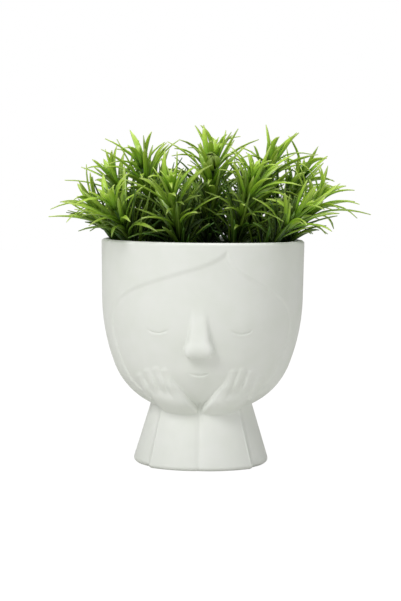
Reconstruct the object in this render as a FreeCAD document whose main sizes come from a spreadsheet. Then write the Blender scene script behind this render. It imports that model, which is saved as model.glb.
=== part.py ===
import FreeCAD
import Part
import Sketcher
import math
import os

from FreeCAD import Placement, Rotation, Vector

# A hollow ceramic head planter: a bowl-shaped head with hair, a sleeping face and two hands that
# hold up its cheeks, standing on its sleeves. A plastic liner pot with a foam block lifts out of
# it, and artificial sprigs are pushed into the foam. Millimetres, +Z up, the face looks along -Y,
# and the origin is the middle of the foot.

doc = FreeCAD.newDocument("HeadPlanter")
sheet = doc.addObject("Spreadsheet::Sheet", "Sizes")

# ---------------------------------------------------------------- driving dimensions
# name, value in millimetres (degrees or a count where the note says so), note
SIZES = [
    ("pot_height", 140.0, "foot to rim"),
    ("rim_radius", 63.0, "outside of the rim"),
    ("brow_height", 104.0, "where the straight upper wall starts to round in"),
    ("brow_radius", 62.4, "outside radius there"),
    ("cheek_fullness", 1.35, "cheek arc, in radii of an arc that would reach the neck by itself"),
    ("jaw_curve", 45.0, "arc radius of the jaw in side view"),
    ("neck_height", 38.0, "the crease between jaw and sleeves"),
    ("neck_radius", 31.5, "outside radius of that crease"),
    ("foot_radius", 43.0, "outside radius of the foot"),
    ("foot_round", 2.5, "rounding of the foot's edge"),
    ("wall", 4.0, "cast wall"),
    ("floor_thickness", 5.0, "cast floor"),
    ("rim_round", 1.5, "rounding of both rim edges"),
    ("wall_sides", 56, "flats round the outside of the pot, a count"),
    ("hollow_sides", 32, "flats round the inside of the pot, a count"),
    ("liner_sides", 28, "flats round the liner and the foam, a count"),
    ("hair_step", 0.9, "height of the hair above the face"),
    ("parting_x", 16.0, "peak of the hairline"),
    ("parting_height", 134.0, "peak of the hairline"),
    ("left_brow_x", 17.6, "hairline above the left eye"),
    ("left_brow_height", 119.8, "hairline above the left eye"),
    ("right_brow_x", 33.5, "hairline above the right eye"),
    ("right_brow_height", 116.7, "hairline above the right eye"),
    ("temple_x", 48.6, "hairline at the temple"),
    ("temple_height", 105.5, "hairline at the temple"),
    ("cheek_x", 54.5, "hairline at the cheek"),
    ("cheek_height", 90.0, "hairline at the cheek"),
    ("jaw_hair_x", 40.0, "hairline behind the hand"),
    ("jaw_hair_height", 52.0, "hairline behind the hand"),
    ("neck_hair_x", 25.2, "hairline at the crease"),
    ("foot_hair_x", 32.0, "hairline at the foot"),
    ("eye_x", 25.3, "middle of a closed eye"),
    ("eye_height", 86.2, "lowest point of a closed eye's line"),
    ("eye_width", 12.0, "closed eye"),
    ("eye_sag", 2.2, "sag of a closed eye's line"),
    ("mouth_height", 58.9, "lowest point of the smile"),
    ("mouth_width", 11.4, "smile"),
    ("mouth_sag", 2.0, "sag of the smile"),
    ("line_width", 1.2, "drawn lines of the eyes and the smile"),
    ("line_depth", 0.8, "drawn lines of the eyes and the smile"),
    ("nose_top", 99.8, "where the nose leaves the brow"),
    ("nose_tip_height", 75.6, "front lower edge of the nose"),
    ("nose_foot", 70.9, "where the nose meets the lip"),
    ("nose_bridge_width", 10.8, "flat front of the nose"),
    ("nose_foot_width", 18.8, "nose across the nostrils"),
    ("nose_reach", 8.6, "how far the tip stands out of the face"),
    ("nose_round", 2.8, "rounding of the nose's edges"),
    ("finger_radius", 2.9, "finger at its root"),
    ("fingertip_radius", 2.4, "finger at its tip"),
    ("finger_rise", 2.2, "how far a finger's root stands out of the cheek"),
    ("tip_rise", 1.7, "how far a fingertip stands out of the cheek"),
    ("palm_edge_radius", 4.6, "smooth edge of the hand beside the chin"),
    ("palm_width", 22.4, "palm across"),
    ("palm_rise", 3.2, "how far the palm stands out of the jaw"),
    ("heel_rise", 5.2, "how far the heel of the hand stands out"),
    ("heel_height", 38.5, "middle of the heel of the hand"),
    ("wrist_x", 12.1, "middle of a wrist"),
    ("wrist_width", 22.8, "sleeve below the hand"),
    ("wrist_rise", 2.6, "how far the sleeve stands out there"),
    ("cuff_x", 16.0, "middle of a sleeve at the foot"),
    ("cuff_width", 31.0, "sleeve at the foot"),
    ("cuff_rise", 1.2, "how far the sleeve stands out of the foot"),
    ("liner_margin", 5.4, "between the liner's rim band and the inside of the pot"),
    ("liner_foot_margin", 4.5, "how far the liner's base reaches out past the crease"),
    ("liner_recess", 15.0, "rim of the pot above the rim of the liner"),
    ("liner_wall", 1.2, "liner pot wall"),
    ("liner_floor", 1.6, "liner pot floor"),
    ("liner_lip", 1.3, "how far the liner's rim band stands out"),
    ("liner_lip_height", 6.0, "depth of the rim band"),
    ("drain_radius", 3.0, "drain hole"),
    ("drain_circle", 24.0, "radius of the ring of drain holes"),
    ("drain_count", 8, "drain holes, a count"),
    ("seat_gap", 0.3, "between the liner and the pot"),
    ("foam_headspace", 7.0, "liner rim above the foam"),
    ("foam_gap", 0.4, "between the foam and the liner's wall"),
    ("stem_radius", 1.1, "stem, across its corners"),
    ("stem_depth", 26.0, "stem pushed into the foam"),
    ("hub_radius", 2.3, "collar that a whorl of leaves grows from"),
    ("hub_height", 2.6, "collar that a whorl of leaves grows from"),
    ("whorl_spacing", 11.5, "from whorl to whorl along the stem"),
    ("leaf_count", 6, "leaves in a whorl, a count"),
    ("bud_leaf_count", 4, "leaves in the top whorl, a count"),
    ("leaf_length", 34.0, "longest leaf"),
    ("bud_leaf_length", 24.0, "leaf of the top whorl"),
    ("leaf_width", 4.4, "leaf at its widest"),
    ("leaf_thickness", 1.0, "leaf at its keel"),
    ("leaf_gap", 0.3, "least gap between leaves of two whorls"),
    ("leaf_over_rim", 1.6, "least height of a leaf above the rim"),
    ("leaf_angle", 48.0, "leaf to stem in the lower whorls, degrees"),
    ("bud_angle", 20.0, "leaf to stem in the top whorl, degrees"),
    ("leaf_arch", 14.0, "how much the outer half of a leaf bends down, degrees"),
]
for row, (alias, value, note) in enumerate(SIZES, start=1):
    sheet.set(f"A{row}", note)
    sheet.set(f"B{row}", str(value))
    sheet.setAlias(f"B{row}", alias)
doc.recompute()


def size(alias):
    return float(getattr(sheet, alias))


# Each sprig: where its stem leaves the foam (x, y), and its top whorl (x, y, height over the rim).
SPRIGS = [
    (-38, -3, -66, -8, 17),
    (-27, 9, -56, 12, 36),
    (-20, -10, -38, -8, 44),
    (-10, -27, -18, -44, 30),
    (2, -8, 6, -18, 46),
    (17, -20, 30, -34, 36),
    (22, 4, 42, 8, 47),
    (31, 14, 60, 24, 38),
    (39, -2, 71, -8, 24),
    (31, -22, 58, -42, 17),
    (-18, 27, -34, 48, 36),
    (2, 17, 4, 30, 50),
    (16, 32, 30, 56, 32),
    (-4, 37, -6, 66, 18),
    (-34, -20, -52, -38, 19),
]


ROUND_SHARE = 1 - math.sqrt(0.5)  # middle of a rounded edge to its corner, in roundings
STEM_SIDES = 6
DRAIN_SIDES = 8


# ---------------------------------------------------------------- helpers
def join(sketch, kind, first, first_end, second, second_end):
    sketch.addConstraint(Sketcher.Constraint(kind, first, first_end, second, second_end))


def pin(sketch, kind, geometry, expression):
    """Add one measured constraint and bind it to an expression of the sheet."""
    value = float(sketch.evalExpression(expression))
    number = sketch.addConstraint(Sketcher.Constraint(kind, *geometry, value))
    sketch.setExpression(f"Constraints[{number}]", expression)


def pin_point(sketch, edge, end, across, up):
    """Hold one end of a sketch edge at two expressions of the sheet, across and up."""
    pin(sketch, "DistanceX", (-1, 1, edge, end), across)
    pin(sketch, "DistanceY", (-1, 1, edge, end), up)


def add_shape(name, shape):
    feature = doc.addObject("Part::Feature", name)
    feature.Shape = shape
    return feature


def cut(name, base, tool):
    result = doc.addObject("Part::Cut", name)
    result.Base = base
    result.Tool = tool
    doc.recompute()
    return result


def fused(name, shapes):
    result = doc.addObject("Part::MultiFuse", name)
    result.Shapes = shapes
    doc.recompute()
    return result


def skin(rings, flat_sides):
    """A closed solid through rings of points, one after another, with a flat face at each end."""
    faces = [Part.Face(Part.makePolygon(rings[0] + rings[0][:1]))]
    faces.append(Part.Face(Part.makePolygon(rings[-1] + rings[-1][:1])))
    count = len(rings[0])
    for low, high in zip(rings, rings[1:]):
        for here in range(count):
            beyond = (here + 1) % count
            corners = [low[here], low[beyond], high[beyond], high[here]]
            if flat_sides:
                faces.append(Part.Face(Part.makePolygon(corners + corners[:1])))
                continue
            faces.append(Part.Face(Part.makePolygon([corners[0], corners[1], corners[2], corners[0]])))
            faces.append(Part.Face(Part.makePolygon([corners[0], corners[2], corners[3], corners[0]])))
    solid = Part.Solid(Part.Shell(faces))
    if solid.Volume < 0:
        solid.reverse()
    return solid


def ring(centre, across, upright, half_width, half_depth, sides):
    """Points round an ellipse, half_width along across and half_depth along upright."""
    points = []
    for number in range(sides):
        turn = 2 * math.pi * (number + 0.5) / sides
        points.append(
            centre
            + across * (half_width * math.cos(turn))
            + upright * (half_depth * math.sin(turn))
        )
    return points


def turned(levels, sides):
    """A form turned about the vertical axis in flats, through (radius, height) levels."""
    rings = []
    for radius, height in levels:
        middle = Vector(0, 0, height)
        rings.append(ring(middle, Vector(1, 0, 0), Vector(0, 1, 0), radius, radius, sides))
    return skin(rings, True)


# ---------------------------------------------------------------- the head's side view
# The cheek arc is tangent to the upper wall at the brow. It is fuller than the one arc that would
# reach the neck by itself, and the jaw arc turns in from it.
DROP = "(Sizes.brow_height - Sizes.neck_height)"
DRAW_IN = "(Sizes.brow_radius - Sizes.neck_radius)"
WALL_RISE = "(Sizes.pot_height - Sizes.brow_height)"
WALL_LEAN = "(Sizes.rim_radius - Sizes.brow_radius)"
CHEEK_RADIUS = (
    f"Sizes.cheek_fullness * ({DROP}^2 + {DRAW_IN}^2) * hypot({WALL_RISE}; {WALL_LEAN})"
    f" / (2 * ({DRAW_IN} * {WALL_RISE} - {DROP} * {WALL_LEAN}))"
)


def wall_centres():
    """Side view of the pot: rim, brow and neck points, cheek radius, cheek and jaw arc centres.

    The upper wall is straight, the cheek arc is tangent to it at the brow, and the jaw arc is
    tangent to the cheek arc and ends at the crease of the neck.
    """
    rim = Vector(size("rim_radius"), size("pot_height"), 0)
    brow = Vector(size("brow_radius"), size("brow_height"), 0)
    neck = Vector(size("neck_radius"), size("neck_height"), 0)
    along = (rim - brow).normalize()
    inward = Vector(-along.y, along.x, 0)
    cheek_radius = float(sheet.evalExpression(CHEEK_RADIUS))
    cheek_centre = brow + inward * cheek_radius
    reach = cheek_radius - size("jaw_curve")
    to_neck = neck - cheek_centre
    span = to_neck.Length
    foot = (reach**2 - size("jaw_curve") ** 2 + span**2) / (2 * span)
    side = math.sqrt(reach**2 - foot**2)
    to_neck.normalize()
    jaw_centre = cheek_centre + to_neck * foot + Vector(-to_neck.y, to_neck.x, 0) * side
    return rim, brow, neck, cheek_radius, cheek_centre, jaw_centre


def angle_of(vector):
    return math.atan2(vector.y, vector.x)


def arc_between(centre, radius, start, end):
    """Arc about a centre, counter-clockwise from the bearing of start to the bearing of end."""
    circle = Part.Circle(centre, Vector(0, 0, 1), radius)
    return Part.ArcOfCircle(circle, angle_of(start - centre), angle_of(end - centre))


def side_view():
    """The outside of the pot as one chain of lines and tangent arcs, held by the sheet."""
    rim, brow, neck, cheek_radius, cheek_centre, jaw_centre = wall_centres()
    meeting = cheek_centre + (jaw_centre - cheek_centre).normalize() * cheek_radius
    sketch = doc.addObject("Sketcher::SketchObject", "side_view")
    sketch.Placement = Placement(Vector(0, 0, 0), Rotation(Vector(1, 0, 0), 90))
    sketch.addGeometry(Part.LineSegment(rim, brow), False)
    sketch.addGeometry(arc_between(cheek_centre, cheek_radius, meeting, brow), False)
    sketch.addGeometry(arc_between(jaw_centre, size("jaw_curve"), neck, meeting), False)
    sketch.addGeometry(Part.LineSegment(neck, Vector(size("foot_radius"), 0, 0)), False)
    wall, cheek, jaw, flare = range(4)
    start, end = 1, 2
    join(sketch, "Tangent", wall, end, cheek, end)
    join(sketch, "Tangent", cheek, start, jaw, end)
    join(sketch, "Coincident", jaw, start, flare, start)
    pin_point(sketch, wall, start, "Sizes.rim_radius", "Sizes.pot_height")
    pin_point(sketch, wall, end, "Sizes.brow_radius", "Sizes.brow_height")
    pin_point(sketch, jaw, start, "Sizes.neck_radius", "Sizes.neck_height")
    pin(sketch, "Radius", (cheek,), CHEEK_RADIUS)
    pin(sketch, "Radius", (jaw,), "Sizes.jaw_curve")
    pin(sketch, "DistanceX", (-1, 1, flare, end), "Sizes.foot_radius")
    sketch.addConstraint(Sketcher.Constraint("PointOnObject", flare, end, -1))
    doc.recompute()
    return sketch


outline = side_view()
WALL_LINE, CHEEK_ARC, JAW_ARC, FLARE_LINE = outline.Geometry
CHEEK_FLATS = 4
JAW_FLATS = 6
CREASE_FLATS = 2


def arc_levels(centre, radius, first_angle, last_angle, flats):
    """(radius, height) levels along an arc, its start left out."""
    levels = []
    for number in range(1, flats + 1):
        angle = first_angle + (last_angle - first_angle) * number / flats
        levels.append((centre.x + radius * math.cos(angle), centre.y + radius * math.sin(angle)))
    return levels


def wall_levels(inset, bottom, top):
    """Levels of the pot's side view moved inwards by inset, from height bottom to height top."""
    along = (WALL_LINE.StartPoint - WALL_LINE.EndPoint).normalize()
    brow_in = WALL_LINE.EndPoint + Vector(-along.y, along.x, 0) * inset
    neck = FLARE_LINE.StartPoint
    flare = (FLARE_LINE.EndPoint - neck).normalize()
    crease = neck + Vector(flare.y, -flare.x, 0) * inset
    low = crease + flare * ((bottom - crease.y) / flare.y)
    high = brow_in + along * ((top - brow_in.y) / along.y)
    jaw_start, jaw_end = JAW_ARC.FirstParameter, JAW_ARC.LastParameter
    levels = [(low.x, bottom), (crease.x, crease.y)]
    if inset > 0:
        crease_start = angle_of(crease - neck) % (2 * math.pi)
        crease_end = angle_of(JAW_ARC.Center - neck)
        levels += arc_levels(neck, inset, crease_start, crease_end, CREASE_FLATS)
    levels += arc_levels(JAW_ARC.Center, JAW_ARC.Radius - inset, jaw_start, jaw_end, JAW_FLATS)
    levels += arc_levels(
        CHEEK_ARC.Center,
        CHEEK_ARC.Radius - inset,
        CHEEK_ARC.FirstParameter,
        CHEEK_ARC.LastParameter,
        CHEEK_FLATS,
    )
    return levels + [(high.x, top)]


def radius_at(levels, height):
    """Radius of a turned form at a height, and its outward direction there (out, up)."""
    for (low_radius, low), (high_radius, high) in zip(levels, levels[1:]):
        if low <= height <= high:
            share = (height - low) / (high - low)
            slope = Vector(high - low, low_radius - high_radius, 0).normalize()
            return low_radius + (high_radius - low_radius) * share, slope
    raise ValueError(f"no wall at height {height}")


FACE_LEVELS = wall_levels(size("hair_step"), -size("hair_step"), size("pot_height"))


def face_point(x, height, rise):
    """A point over the face at x and height, moved out of the surface by rise."""
    radius, out = radius_at(FACE_LEVELS, height)
    across = Vector(x, -math.sqrt(radius**2 - x**2), 0)
    normal = Vector(across).normalize() * out.x + Vector(0, 0, out.y)
    return across + Vector(0, 0, height) + normal * rise, normal


# ---------------------------------------------------------------- the head pot
def hair_form():
    """The outside at the height of the hair, with the rim and the foot rounded."""
    levels = wall_levels(0, size("foot_round"), size("pot_height") - size("rim_round"))
    foot_radius = size("foot_radius")
    foot_step = size("foot_round") * ROUND_SHARE
    foot = [(foot_radius - size("foot_round"), 0), (foot_radius - foot_step, foot_step)]
    rim_radius = size("rim_radius")
    rim_step = size("rim_round") * ROUND_SHARE
    rim = [
        (rim_radius - rim_step, size("pot_height") - rim_step),
        (rim_radius - size("rim_round"), size("pot_height")),
    ]
    return add_shape("hair_form", turned(foot + levels + rim, int(size("wall_sides"))))


def hollow():
    """The inside, one wall thickness from the outside, opening out at the rounded rim."""
    rim_inner = size("rim_radius") - size("wall")
    top = size("pot_height")
    rim_step = size("rim_round") * ROUND_SHARE
    levels = wall_levels(size("wall"), size("floor_thickness"), top - size("rim_round"))
    levels += [
        (rim_inner + rim_step, top - rim_step),
        (rim_inner + size("rim_round"), top),
        (rim_inner + size("rim_round"), top + size("rim_round")),
    ]
    return add_shape("hollow", turned(levels, int(size("hollow_sides"))))


def inner_form(name, inset):
    """The outside moved inwards, under the hair or under a drawn line."""
    levels = wall_levels(inset, -size("hair_step"), size("pot_height") + size("hair_step"))
    return add_shape(name, turned(levels, int(size("wall_sides"))))


def pushed_forward(name, face):
    """Stretch a flat outline from the middle plane out through the front of the head."""
    flat = add_shape(f"{name}_outline", face)
    prism = doc.addObject("Part::Extrusion", name)
    prism.Base = flat
    prism.DirMode = "Custom"
    prism.Dir = Vector(0, -1, 0)
    prism.Solid = True
    prism.setExpression("LengthFwd", "Sizes.rim_radius + Sizes.nose_reach")
    doc.recompute()
    return prism


def front_view(x, height):
    return Vector(x, 0, height)


HAIRLINE_CORNERS = 16


def hairline_side(side, brow_x, brow_height):
    """One side of the face's outline, from the parting down to the crease of the neck."""
    seen = [
        front_view(size("parting_x"), size("parting_height")),
        front_view(brow_x, brow_height),
        front_view(side * size("temple_x"), size("temple_height")),
        front_view(side * size("cheek_x"), size("cheek_height")),
        front_view(side * size("jaw_hair_x"), size("jaw_hair_height")),
        front_view(side * size("neck_hair_x"), size("neck_height")),
    ]
    curve = Part.BSplineCurve()
    curve.interpolate(seen)
    below = front_view(side * size("foot_hair_x"), -size("hair_step"))
    return curve.discretize(HAIRLINE_CORNERS) + [below]


def face_window():
    """Everything inside the hairline, down to the foot."""
    left = hairline_side(-1, -size("left_brow_x"), size("left_brow_height"))
    right = hairline_side(1, size("right_brow_x"), size("right_brow_height"))
    return pushed_forward("face_window", Part.Face(Part.makePolygon(left + right[::-1])))


LINE_FLATS = 6
LINE_END = 0.5  # width of a drawn line at its ends, to its width between them


def drawn_line(name, x, height, width, sag):
    """A thin line that sags between its two ends, as closed lids and a smile are drawn."""
    bend = (width**2 / 4 + sag**2) / (2 * sag)
    centre = front_view(x, height + bend)
    reach = math.asin(width / (2 * bend))
    half = size("line_width") / 2
    low = []
    high = []
    for number in range(LINE_FLATS + 1):
        turn = reach * (2 * number / LINE_FLATS - 1)
        out = Vector(math.sin(turn), 0, -math.cos(turn))
        taper = half * (LINE_END if number in (0, LINE_FLATS) else 1)
        low.append(centre + out * (bend + taper))
        high.append(centre + out * (bend - taper))
    corners = low + high[::-1]
    return pushed_forward(name, Part.Face(Part.makePolygon(corners + corners[:1])))


def nose():
    """A wedge: flat narrow bridge, flared sides, and an underside that runs back to the lip."""
    bridge = size("nose_bridge_width") / 2
    flare = (size("nose_foot_width") / 2 - bridge) / size("nose_reach")
    depth = 2 * size("wall")

    def section(height, reach):
        surface = -radius_at(FACE_LEVELS, height)[0]
        back = bridge + flare * (depth + reach)
        corners = [
            Vector(-back, surface + depth, height),
            Vector(back, surface + depth, height),
            Vector(bridge, surface - reach, height),
            Vector(-bridge, surface - reach, height),
        ]
        return Part.makePolygon(corners + corners[:1])

    sunk = -size("hair_step") / 2
    sections = [
        section(size("nose_top"), sunk),
        section(size("nose_tip_height"), size("nose_reach")),
        section(size("nose_foot"), sunk),
    ]
    wedge = Part.makeLoft(sections, True, True)
    tip = wedge.BoundBox.YMin + size("nose_round")
    outer = [edge for edge in wedge.Edges if edge.BoundBox.YMin < tip]
    return add_shape("nose", wedge.makeFillet(size("nose_round"), outer))


# Fingers of one hand, from the mouth outwards: tip x, tip height, root x, root height.
FINGERS = [
    (21.2, 62.6, 15.0, 47.5),
    (26.4, 63.0, 20.2, 47.8),
    (31.6, 61.0, 25.4, 47.8),
    (36.6, 57.4, 30.0, 46.8),
]
# The palm's middle line: x, height, and how far it has swelled from palm (0) to heel (1); below 0
# it sinks towards the cheek.
PALM = [
    (25.6, 56.0, -1.7),
    (23.2, 51.0, -0.4),
    (18.8, 45.0, 0.4),
    (15.4, 41.2, 0.9),
    (14.0, 39.4, 0.9),
    (13.6, 38.4, -1.0),
]
FINGER_SIDES = 10
PALM_SIDES = 16
SLEEVE_SIDES = 24
ROOT_TURNS = (-75, -40, 0)  # degrees round a finger's end ball, at each ring of its root
TIP_TURNS = (0, 40, 72)
PALM_TAPER = 0.12  # how much narrower the palm gets as it swells
SLEEVE_FULLNESS = 0.85  # depth of a sleeve to its width


def tapered_finger(start, end, start_radius, end_radius):
    """A finger with round ends, in flats along its axis."""
    along = Vector(end - start).normalize()
    across = along.cross(Vector(0, 1, 0)).normalize()
    upright = across.cross(along)
    rings = []
    for turn in ROOT_TURNS:
        angle = math.radians(turn)
        centre = start + along * (start_radius * math.sin(angle))
        radius = start_radius * math.cos(angle)
        rings.append(ring(centre, across, upright, radius, radius, FINGER_SIDES))
    for turn in TIP_TURNS:
        angle = math.radians(turn)
        centre = end + along * (end_radius * math.sin(angle))
        radius = end_radius * math.cos(angle)
        rings.append(ring(centre, across, upright, radius, radius, FINGER_SIDES))
    return skin(rings, True)


def fingers():
    pieces = []
    for tip_x, tip_height, root_x, root_height in FINGERS:
        root, _ = face_point(-root_x, root_height, size("finger_rise") - size("finger_radius"))
        tip, _ = face_point(-tip_x, tip_height, size("tip_rise") - size("fingertip_radius"))
        pieces.append(tapered_finger(root, tip, size("finger_radius"), size("fingertip_radius")))
    return pieces


def palm_edge():
    """The long smooth edge of the hand, from the first finger down to the chin, bent at its middle
    to follow the cheek."""
    tip_x, tip_height, _, _ = FINGERS[0]
    radius = size("palm_edge_radius")
    tip_radius = size("fingertip_radius")
    top_height = tip_height - tip_radius
    middle_x = (radius + tip_x) / 2
    middle_height = (size("heel_height") + top_height) / 2
    tip, _ = face_point(-tip_x, top_height, size("tip_rise") - tip_radius)
    middle, _ = face_point(-middle_x, middle_height, size("finger_rise") - radius)
    heel, _ = face_point(-radius, size("heel_height"), size("palm_rise") - radius)
    return [
        tapered_finger(heel, middle, radius, radius),
        tapered_finger(middle, tip, radius, tip_radius),
    ]


def palm():
    """The back of the hand, swelling into the heel that overhangs the wrist."""
    rings = []
    for x, height, swelling in PALM:
        rise = size("palm_rise") + (size("heel_rise") - size("palm_rise")) * swelling
        depth = size("wall") + size("palm_rise")
        centre, normal = face_point(-x, height, rise - depth)
        across = Vector(0, 0, 1).cross(normal).normalize()
        half_width = size("palm_width") / 2 * (1 - PALM_TAPER * abs(swelling))
        rings.append(ring(centre, across, normal, half_width, depth, PALM_SIDES))
    return skin(rings, False)


def sleeve():
    """One forearm in its sleeve, from the heel of the hand to the foot."""
    outside = wall_levels(0, 0, size("pot_height"))

    def section(height, share, trim):
        x = size("cuff_x") + (size("wrist_x") - size("cuff_x")) * share
        width = size("cuff_width") + (size("wrist_width") - size("cuff_width")) * share
        rise = size("cuff_rise") + (size("wrist_rise") - size("cuff_rise")) * share
        front = math.sqrt(radius_at(outside, height)[0] ** 2 - x**2) + rise
        depth = width / 2 * SLEEVE_FULLNESS
        centre = Vector(-x, depth - front, height)
        return ring(
            centre, Vector(1, 0, 0), Vector(0, 1, 0), width / 2 - trim, depth - trim, SLEEVE_SIDES
        )

    edge = size("foot_round")
    edge_step = edge * ROUND_SHARE
    rings = [
        section(0, 0, edge),
        section(edge_step, 0, edge_step),
        section(edge, 0, 0),
        section(size("neck_height") / 2, 0.5, 0),
        section(size("neck_height") - edge / 2, 1, 0),
    ]
    return skin(rings, False)


def mirrored(name, source):
    result = doc.addObject("Part::Mirroring", name)
    result.Source = source
    result.Base = Vector(0, 0, 0)
    result.Normal = Vector(1, 0, 0)
    doc.recompute()
    return result


def head_pot():
    """The cast pot: hair, sunk face, drawn lines, nose, hands and sleeves, then the hollow."""
    face = inner_form("face_form", size("hair_step"))
    line_floor = inner_form("line_floor", size("hair_step") + size("line_depth"))
    carved = cut("hair_and_face", hair_form(), cut("face_recess", face_window(), face))
    eye = (size("eye_height"), size("eye_width"), size("eye_sag"))
    lines = fused("drawn_lines", [
        drawn_line("left_lid", -size("eye_x"), *eye),
        drawn_line("right_lid", size("eye_x"), *eye),
        drawn_line("smile", 0, size("mouth_height"), size("mouth_width"), size("mouth_sag")),
    ])
    lined = cut("lined_face", carved, cut("line_grooves", lines, line_floor))
    pieces = fingers() + palm_edge() + [palm(), sleeve()]
    left = add_shape("left_arm", pieces[0].multiFuse(pieces[1:]))
    right = mirrored("right_arm", left)
    full = fused("full_head", [lined, nose(), left, right])
    return cut("head_pot", full, hollow())


# ---------------------------------------------------------------- the liner pot and its foam
INSIDE_LEVELS = wall_levels(size("wall"), size("floor_thickness"), size("pot_height"))
LINER_RIM_HEIGHT = size("pot_height") - size("liner_recess")
LINER_BAND_RADIUS = radius_at(INSIDE_LEVELS, LINER_RIM_HEIGHT)[0] - size("liner_margin")
LINER_RADIUS = LINER_BAND_RADIUS - size("liner_lip")
LINER_FOOT_RADIUS = size("neck_radius") + size("liner_foot_margin")
FOAM_TOP = LINER_RIM_HEIGHT - size("foam_headspace")


def seat_height():
    """Height at which the liner's base ring meets the inside of the jaw, less the seat gap."""
    levels = wall_levels(size("wall") + size("seat_gap"), size("floor_thickness"), size("pot_height"))
    for (low_radius, low), (high_radius, high) in zip(levels[1:], levels[2:]):
        if low_radius < LINER_FOOT_RADIUS <= high_radius:
            share = (LINER_FOOT_RADIUS - low_radius) / (high_radius - low_radius)
            return low + (high - low) * share
    raise ValueError("the liner's base doesn't meet the jaw")


LINER_BASE = seat_height()


def liner_radius_at(height):
    """Outside radius of the liner's tapered wall."""
    share = (height - LINER_BASE) / (LINER_RIM_HEIGHT - LINER_BASE)
    return LINER_FOOT_RADIUS + (LINER_RADIUS - LINER_FOOT_RADIUS) * share


def liner_pot():
    """A thin tapered plastic pot with a rim band and a ring of drain holes in its floor."""
    sides = int(size("liner_sides"))
    top = LINER_RIM_HEIGHT
    band = top - size("liner_lip_height")
    inside_floor = LINER_BASE + size("liner_floor")
    outside = turned(
        [
            (LINER_FOOT_RADIUS, LINER_BASE),
            (liner_radius_at(band), band),
            (liner_radius_at(band) + size("liner_lip"), band + size("liner_lip")),
            (LINER_BAND_RADIUS, top),
        ],
        sides,
    )
    inside = turned(
        [
            (liner_radius_at(inside_floor) - size("liner_wall"), inside_floor),
            (LINER_RADIUS - size("liner_wall"), top),
            (LINER_RADIUS - size("liner_wall"), top + size("liner_lip")),
        ],
        sides,
    )
    shell = cut("liner_shell", add_shape("liner_outside", outside), add_shape("liner_inside", inside))
    holes = []
    for number in range(int(size("drain_count"))):
        turn = 2 * math.pi * number / size("drain_count")
        hole = doc.addObject("Part::Prism", f"drain_{number + 1}")
        hole.Polygon = DRAIN_SIDES
        hole.setExpression("Circumradius", "Sizes.drain_radius")
        hole.setExpression("Height", "Sizes.liner_floor * 3")
        across = size("drain_circle")
        bottom = LINER_BASE - size("liner_floor")
        corner = Vector(across * math.cos(turn), across * math.sin(turn), bottom)
        hole.Placement = Placement(corner, Rotation())
        holes.append(hole)
    return cut("liner_pot", shell, fused("drain_holes", holes))


def foam_block(stems):
    """Foam that fills the liner up to the headspace, with a hole for every stem."""
    base = LINER_BASE + size("liner_floor")
    inset = size("liner_wall") + size("foam_gap")
    block = turned(
        [(liner_radius_at(base) - inset, base), (liner_radius_at(FOAM_TOP) - inset, FOAM_TOP)],
        int(size("liner_sides")),
    )
    return cut("foam_block", add_shape("foam_blank", block), fused("stem_holes", stems))


# ---------------------------------------------------------------- the sprigs
def stem_line(sprig):
    """Where a stem leaves the foam, where its top whorl is, and its direction."""
    foot_x, foot_y, head_x, head_y, over_rim = sprig
    surface = Vector(foot_x, foot_y, FOAM_TOP)
    head = Vector(head_x, head_y, size("pot_height") + over_rim)
    return surface, head, Vector(head - surface).normalize()


def stem(name, sprig):
    """A six-sided moulded stem, from inside the foam up into its top whorl."""
    surface, head, along = stem_line(sprig)
    result = doc.addObject("Part::Prism", name)
    result.Polygon = STEM_SIDES
    result.setExpression("Circumradius", "Sizes.stem_radius")
    length = (head - surface).Length
    result.setExpression("Height", f"Sizes.stem_depth + Sizes.hub_height / 2 + {length:.4f}")
    result.Placement = Placement(
        surface - along * size("stem_depth"), Rotation(Vector(0, 0, 1), along)
    )
    return result


def segment_distance(first, second):
    """Least distance between two straight segments, each a pair of points."""
    start, end = first
    other_start, other_end = second
    run = end - start
    other_run = other_end - other_start
    apart = start - other_start
    a, b, c = run.dot(run), run.dot(other_run), other_run.dot(other_run)
    d, e = run.dot(apart), other_run.dot(apart)
    spread = a * c - b * b
    share = min(max((b * e - c * d) / spread, 0), 1) if spread > 1e-9 else 0.0
    other_share = (b * share + e) / c
    if other_share < 0:
        other_share = 0.0
        share = min(max(-d / a, 0), 1)
    elif other_share > 1:
        other_share = 1.0
        share = min(max((b - d) / a, 0), 1)
    return (start + run * share - other_start - other_run * other_share).Length


WIDEST = 0.42  # where a leaf is widest, in leaf lengths
ROOT_WIDTH = 0.4  # width of a leaf at the collar, in leaf widths
SHORTEST_LEAF = 0.35  # a leaf that would be shorter than this, in full lengths, is left out
LENGTH_STEP = 0.94
OPENING_WHORLS = 2  # whorls from the closed bud to the fully spread leaves
TURN_BY_SPRIG = 0.7
TURN_BY_WHORL = 0.5


def leaf_line(root, along, outward, angle, length):
    """Middle line of an arched leaf: root, widest place and tip."""
    first = along * math.cos(angle) + outward * math.sin(angle)
    bent = angle + math.radians(size("leaf_arch"))
    second = along * math.cos(bent) + outward * math.sin(bent)
    middle = root + first * (length * WIDEST)
    return [root, middle, middle + second * (length * (1 - WIDEST))]


def leaf_is_clear(line, others):
    """Whether a leaf stays over the rim and away from every other leaf and stem."""
    reach = size("leaf_width") + size("leaf_gap")
    floor = size("pot_height") + size("leaf_over_rim") + size("leaf_thickness")
    if min(line[1].z, line[2].z) < floor:
        return False
    for first in zip(line, line[1:]):
        for second in others:
            if segment_distance(first, second) < reach:
                return False
    return True


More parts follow.
